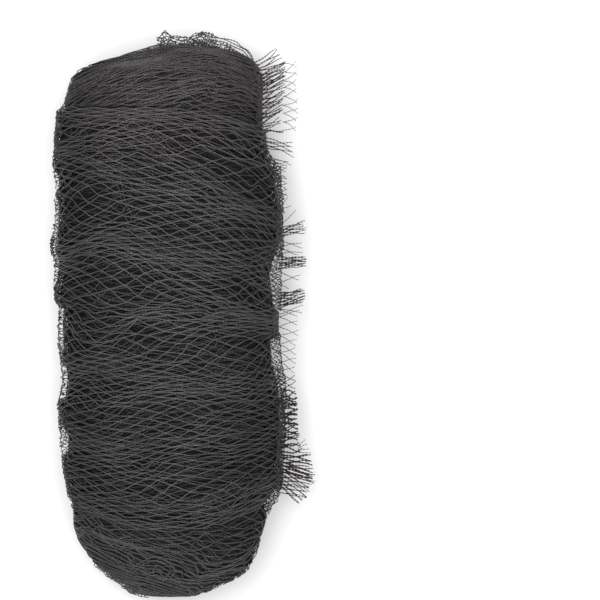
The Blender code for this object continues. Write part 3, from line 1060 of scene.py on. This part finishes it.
def fray_strands(skin):
    """Every cut strand of the edge, and how thick it is from root to tip."""
    draw = np.random.RandomState(FRAY_SEED)
    slimmer = np.linspace(1.0, FRAY_TIP_GIRTH, FRAY_POINTS)
    paths = []
    girths = []
    for fray in FRAYS:
        step = 1.0 / fray.strands
        past = FRAY_PAST * step * (fray.strands > 1)
        ways = (-1, 1) if fray.cross > 0.0 else (1,)
        for layer in range(fray.layers):
            for index in range(fray.strands + 1):
                start = (index + jitter(draw, FRAY_UNEVEN) * (fray.strands > 1)) * step
                for end in [start + way * step * fray.cross for way in ways]:
                    if -past <= end <= 1.0 + past:
                        paths.append(fray_strand(skin, fray, start, end, layer, draw))
                        girths.append(fray.girth * slimmer)
    return paths, girths


def add_object(name, data):
    """A new object in the scene."""
    added = bpy.data.objects.new(name, data)
    bpy.context.scene.collection.objects.link(added)
    return added


def wire(name, paths, closed, girths=None):
    """A mesh of bare edges from several paths, in millimetres."""
    edges = []
    first = 0
    for path in paths:
        count = len(path)
        start = np.arange(count if closed else count - 1)
        edges.append(np.stack([start, (start + 1) % count], axis=1) + first)
        first += count
    mesh = bpy.data.meshes.new(name)
    mesh.from_pydata((np.vstack(paths) * MM).tolist(), np.vstack(edges).tolist(), [])
    if girths is not None:
        girth = mesh.attributes.new("girth", "FLOAT", "POINT")
        girth.data.foreach_set("value", np.concatenate(girths))
    return add_object(name, mesh)


def feed(tree, socket, value):
    """Link what feeds a socket, or set its plain value."""
    if isinstance(value, bpy.types.Node):
        value = value.outputs[0]
    if isinstance(value, bpy.types.NodeSocket):
        tree.links.new(value, socket)
    else:
        socket.default_value = value


def node(tree, kind, *feeds, **settings):
    """A new node with its settings, and what feeds its sockets, by name or in order."""
    made = tree.nodes.new(kind)
    for name, value in settings.items():
        if hasattr(made, name):
            setattr(made, name, value)
        else:
            feed(tree, made.inputs[name.replace("_", " ")], value)
    for socket, value in zip(made.inputs, feeds):
        feed(tree, socket, value)
    return made


def maths(tree, operation, *feeds):
    """A node that works out a value."""
    return node(tree, "ShaderNodeMath", *feeds, operation=operation)


def start_tree(name, **inputs):
    """An empty tree of Geometry Nodes with named inputs, its entry and its curves."""
    tree = bpy.data.node_groups.new(name, "GeometryNodeTree")
    for label, kind in {"Geometry": "Geometry", **inputs}.items():
        tree.interface.new_socket(
            name=label, in_out="INPUT", socket_type="NodeSocket" + kind)
    tree.interface.new_socket(
        name="Geometry", in_out="OUTPUT", socket_type="NodeSocketGeometry")
    entry = node(tree, "NodeGroupInput")
    return tree, entry.outputs, node(tree, "GeometryNodeMeshToCurve", entry)


def measured(tree, curves, length):
    """The same curves, with the length along each kept for its finish."""
    return node(tree, "GeometryNodeStoreNamedAttribute", data_type="FLOAT", domain="POINT",
                Name="along_yarn", Geometry=curves, Value=length)


def end_tree(tree, body, yarn):
    """The last steps of a tree: the body made real, in its yarn."""
    real = node(tree, "GeometryNodeRealizeInstances", body)
    finish = node(tree, "GeometryNodeSetMaterial", Geometry=real, Material=yarn)
    node(tree, "NodeGroupOutput", finish)


def yarn_tree():
    """Geometry Nodes that give bare edges the round body of a yarn."""
    tree, given, curves = start_tree(
        "round_yarn", Diameter="Float", Sides="Int", Yarn="Material")
    spline = node(tree, "GeometryNodeSplineParameter")
    curves = measured(tree, curves, spline.outputs["Length"])
    profile = node(tree, "GeometryNodeCurvePrimitiveCircle", Resolution=given["Sides"],
                   Radius=maths(tree, "MULTIPLY", given["Diameter"], 0.5))
    body = node(tree, "GeometryNodeCurveToMesh", Curve=curves, Profile_Curve=profile,
                Fill_Caps=True)
    end_tree(tree, body, given["Yarn"])
    return tree


def chain_tree():
    """Geometry Nodes that give bare edges the flat, turning body of knitted chain."""
    tree, given, curves = start_tree(
        "knitted_chain", Width="Float", Thickness="Float", Stitch="Float", Step="Float",
        Sides="Int", Yarn="Material")
    smooth = node(tree, "GeometryNodeCurveSplineType", spline_type="CATMULL_ROM", Curve=curves)
    even = node(tree, "GeometryNodeResampleCurve", mode="LENGTH", Curve=smooth,
                Length=given["Step"])
    spline = node(tree, "GeometryNodeSplineParameter")
    stitch = maths(tree, "DIVIDE", spline.outputs["Length"], given["Stitch"])
    twisted = node(tree, "GeometryNodeSetCurveTilt", Curve=even,
                   Tilt=maths(tree, "MULTIPLY", stitch, math.pi))
    curves = measured(tree, twisted, spline.outputs["Length"])
    profile = node(tree, "GeometryNodeCurvePrimitiveCircle", Resolution=given["Sides"],
                   Radius=0.5)
    flat = node(tree, "ShaderNodeCombineXYZ", given["Width"], given["Thickness"], 1.0)
    sized = node(tree, "GeometryNodeTransform", Geometry=profile, Scale=flat)
    girth = node(tree, "GeometryNodeInputNamedAttribute", data_type="FLOAT", Name="girth")
    body = node(tree, "GeometryNodeCurveToMesh", Curve=curves, Profile_Curve=sized,
                Scale=girth, Fill_Caps=True)
    end_tree(tree, body, given["Yarn"])
    return tree


def grow(piece, tree, **values):
    """Run a tree on a piece and keep the result as a plain mesh."""
    modifier = piece.modifiers.new("make", "NODES")
    modifier.node_group = tree
    for item in tree.interface.items_tree:
        if item.in_out == "INPUT" and item.name in values:
            modifier[item.identifier] = values[item.name]
    graph = bpy.context.evaluated_depsgraph_get()
    made = bpy.data.meshes.new_from_object(piece.evaluated_get(graph))
    piece.modifiers.remove(modifier)
    piece.data = made
    made.name = piece.name
    made.shade_smooth()
    return piece


def net_turn(turn, skin, tree, yarn, cap):
    """One turn of net round the wrap, or round a cap."""
    net = Net(turn, skin, cap)
    paths = [drawn_in(net.strand(index)) for index in range(len(net.rows) - 1)]
    piece = wire(turn.name, paths, closed=True)
    return grow(piece, tree, Diameter=turn.diameter * MM, Sides=turn.sides, Yarn=yarn)


def chain_piece(name, paths, girths, tree, yarn):
    """Free strands of net, with the body of knitted chain."""
    piece = wire(name, paths, closed=False, girths=girths)
    grow(piece, tree, Width=CHAIN_WIDTH * MM, Thickness=CHAIN_THICK * MM,
         Stitch=STITCH * MM, Step=CHAIN_STEP * MM, Sides=CHAIN_SIDES, Yarn=yarn)
    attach(piece, BODY)
    return piece


def same_girth(paths, girth):
    """The same thickness at every point of some paths."""
    return [np.full(len(path), girth) for path in paths]


def core_skin(skin, along, turn):
    """Where the pressed yarn lies: deeper below the wrap than below the caps."""
    side = skin.side(along, turn)
    inside = np.minimum(bent(WRAP_BENDS, FAR_RIM, side) - along,
                        along - bent(WRAP_BENDS, NEAR_RIM, side))
    return skin.place(along, turn, CORE_DEPTH + CORE_WRAP_DEPTH * ease(inside / CORE_SLOPE))


def core(skin, material):
    """The pressed yarn in the middle of the roll, closed at both ends."""
    at = np.linspace(0, len(skin.along) - 1, CORE_ROWS)
    along = np.interp(at, np.arange(len(skin.along)), skin.along)
    turns = np.arange(CORE_POINTS) / CORE_POINTS
    crown, share = np.meshgrid(along, turns, indexing="ij")
    points = drawn_in(core_skin(skin, crown, share)).reshape(-1, 3)
    grid = np.arange(len(points)).reshape(CORE_ROWS, CORE_POINTS)
    after = np.roll(grid, -1, axis=1)
    sides = np.stack([grid[:-1], grid[1:], after[1:], after[:-1]], axis=-1).reshape(-1, 4)
    ends = [grid[0].tolist(), grid[-1, ::-1].tolist()]
    mesh = bpy.data.meshes.new("winding_core")
    mesh.from_pydata((points * MM).tolist(), [], sides.tolist() + ends)
    mesh.shade_smooth()
    mesh.materials.append(material)
    return add_object("winding_core", mesh)


def faded(tree, value, fade, kind="SMOOTHSTEP"):
    """A value that follows another from the start to the end of a fade."""
    return node(tree, "ShaderNodeMapRange", value, *fade, interpolation_type=kind)


def cloudy(tree, place, cloud):
    """Noise over the object, between two values."""
    noise = node(tree, "ShaderNodeTexNoise", Vector=place, Scale=cloud.scale, Detail=3.0)
    return faded(tree, noise, Fade(*CLOUD_SPREAD, cloud.low, cloud.high), "LINEAR")


def stitches(tree):
    """A value that rises and falls with each stitch along the yarn."""
    along = node(tree, "ShaderNodeAttribute", attribute_name="along_yarn")
    count = maths(tree, "MULTIPLY", along.outputs["Fac"], 1.0 / (STITCH * MM))
    return faded(tree, maths(tree, "PINGPONG", count, 0.5), STITCH_RISE)


def yarn_colour(tree, along, dye_and_shade):
    """The yarn's colour, a little warmer towards the far end; for deeper turns a darker copy,
    as painted shade.
    """
    tint = node(tree, "ShaderNodeMix", faded(tree, along, WARMER), data_type="RGBA")
    tint.inputs[MIX_FIRST].default_value = (*dye_and_shade.colour, 1.0)
    tint.inputs[MIX_SECOND].default_value = (*dye_and_shade.warm, 1.0)
    return tint.outputs[MIX_RESULT]


def yarn_shade(tree, place, across, along, stitch):
    """How light the yarn is: painted highlight and shade by stitch, tone by cloud, and painted
    shade towards the near end and at the sides.
    """
    off = maths(tree, "ADD", across, -AXIS_X * MM)
    shade = faded(tree, stitch, STITCH_LIGHT_AND_SHADE, "LINEAR")
    for part in (cloudy(tree, place, BROAD_TONE), cloudy(tree, place, FINE_TONE),
                 faded(tree, maths(tree, "ABSOLUTE", off), SIDES_PAINTED_SHADE),
                 faded(tree, along, NEAR_END_PAINTED_SHADE)):
        shade = maths(tree, "MULTIPLY", shade, part)
    return shade


def new_finish(name, shine):
    """A bare finish: its material and tree, its shader's sockets, and the object's place."""
    material = bpy.data.materials.new(name)
    material.use_nodes = True
    tree = material.node_tree
    shader = tree.nodes["Principled BSDF"]
    shader.inputs["Specular IOR Level"].default_value = shine
    return material, tree, shader.inputs, node(tree, "ShaderNodeTexCoord").outputs["Object"]


def yarn_finish(dye_and_shade):
    """Black knitted yarn: stitch by stitch bumps, tints from place to place, and painted shade
    towards the sides and the near end.
    """
    material, tree, surface, place = new_finish(dye_and_shade.name, dye_and_shade.shine)
    across, along, _ = node(tree, "ShaderNodeSeparateXYZ", place).outputs
    stitch = stitches(tree)
    dyed_and_shaded = node(tree, "ShaderNodeVectorMath", yarn_colour(tree, along, dye_and_shade),
                operation="SCALE", Scale=yarn_shade(tree, place, across, along, stitch))
    feed(tree, surface["Base Color"], dyed_and_shaded)
    feed(tree, surface["Roughness"], cloudy(tree, place, YARN_ROUGH))
    fibre = node(tree, "ShaderNodeTexNoise", Vector=place, Scale=FIBRE_SCALE, Detail=2.0)
    height = maths(tree, "MULTIPLY_ADD", fibre, FIBRE_HEIGHT, stitch)
    feed(tree, surface["Normal"], node(tree, "ShaderNodeBump", *YARN_BUMP, Height=height))
    return material


def core_finish(name):
    """Yarn pressed flat, painted very dark as the shade deep inside the roll: fine lines that
    run round the roll.
    """
    material, tree, surface, place = new_finish(name, 0.0)
    lines = node(tree, "ShaderNodeTexWave", place, *CORE_LINES, bands_direction="Y")
    lines = lines.outputs["Fac"]
    ramp = node(tree, "ShaderNodeValToRGB", lines)
    ramp.color_ramp.elements[0].color = CORE_DARK
    ramp.color_ramp.elements[1].color = CORE_LIGHT
    feed(tree, surface["Base Color"], ramp)
    feed(tree, surface["Roughness"], cloudy(tree, place, CORE_ROUGH))
    feed(tree, surface["Normal"], node(tree, "ShaderNodeBump", *CORE_BUMP, Height=lines))
    return material


def set_camera():
    """A camera straight above the roll."""
    data = bpy.data.cameras.new("camera")
    data.sensor_width = CAMERA_SENSOR
    data.lens = CAMERA_LENS
    camera = add_object("camera", data)
    camera.location = CAMERA_AT
    bpy.context.scene.camera = camera


def set_floor():
    """A pale floor."""
    far = FLOOR_HALF
    mesh = bpy.data.meshes.new("floor")
    mesh.from_pydata([(-far, -far, 0), (far, -far, 0), (far, far, 0), (-far, far, 0)],
                     [], [(0, 1, 2, 3)])
    floor = add_object("floor", mesh)
    material = bpy.data.materials.new("floor_white")
    material.use_nodes = True
    shader = material.node_tree.nodes["Principled BSDF"]
    shader.inputs["Base Color"].default_value = FLOOR_COLOUR
    shader.inputs["Roughness"].default_value = FLOOR_ROUGH
    mesh.materials.append(material)


def set_light():
    """A white room and one soft light."""
    world = bpy.data.worlds.new("white_room")
    world.use_nodes = True
    background = world.node_tree.nodes["Background"]
    background.inputs["Color"].default_value = ROOM_COLOUR
    background.inputs["Strength"].default_value = ROOM_LIGHT
    bpy.context.scene.world = world
    light = bpy.data.lights.new("soft_light", "AREA")
    light.shape = "RECTANGLE"
    light.size, light.size_y = LAMP_SIZE
    light.energy = LAMP_WATTS
    lamp = add_object("soft_light", light)
    lamp.location = LAMP_AT
    lamp.rotation_euler = (-LAMP_AT).to_track_quat("-Z", "Y").to_euler()
    bpy.context.scene.view_settings.view_transform = "Standard"


def wind_roll(skin, yarn, inner, third, deep):
    """The core and every turn of net round it."""
    tree = yarn_tree()
    pieces = [core(skin, core_finish("pressed_yarn_painted_shade"))]
    # The deeper turns take the darker copies of the yarn: painted shade.
    for turn, finish in zip(WRAP_TURNS, (yarn, inner, third, deep)):
        pieces.append(net_turn(turn, skin, tree, finish, cap=False))
    for turn, finish in zip(CAP_TURNS, (yarn, inner, third) * 2):
        pieces.append(net_turn(turn, skin, tree, finish, cap=True))
    for piece in pieces:
        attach(piece, BODY)
        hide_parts("wound_net")


def add_loose_net(skin, yarn, cut, loose):
    """The cut edge, the loops along the sides, the near end's tangle and the corner."""
    chain = chain_tree()
    fringe = chain_piece("cut_net_edge", *fray_strands(skin), chain, cut)
    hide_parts("cut_edge")
    lace, curls = lace_strands(skin), side_curls(skin)
    girths = same_girth(lace, LACE_GIRTH) + same_girth(curls, CURL_GIRTH)
    loops = chain_piece("loose_side_loops", lace + curls, girths, chain, yarn)
    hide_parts("wound_net")
    strays, ends = stray_strands(skin), end_curls(skin)
    girths = [np.full(STRAY_POINTS, row.girth) for row in STRAYS]
    girths += same_girth(ends, END_CURL_GIRTH)
    tangle = chain_piece("near_end_tangle", strays + ends, girths, chain, loose)
    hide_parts("wound_net")
    arcs = corner_strands(skin)
    tuft = chain_piece("loose_net_corner", arcs, same_girth(arcs, 1.0), chain, yarn)
    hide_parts("loose_corner")


def main():
    """Dress the model."""
    set_camera()
    set_floor()
    set_light()
    skin = Skin()
    yarn, inner, third, deep, cut, loose = (yarn_finish(dye_and_shade) for dye_and_shade in DYES_AND_SHADES)
    wind_roll(skin, yarn, inner, third, deep)
    add_loose_net(skin, yarn, cut, loose)


main()
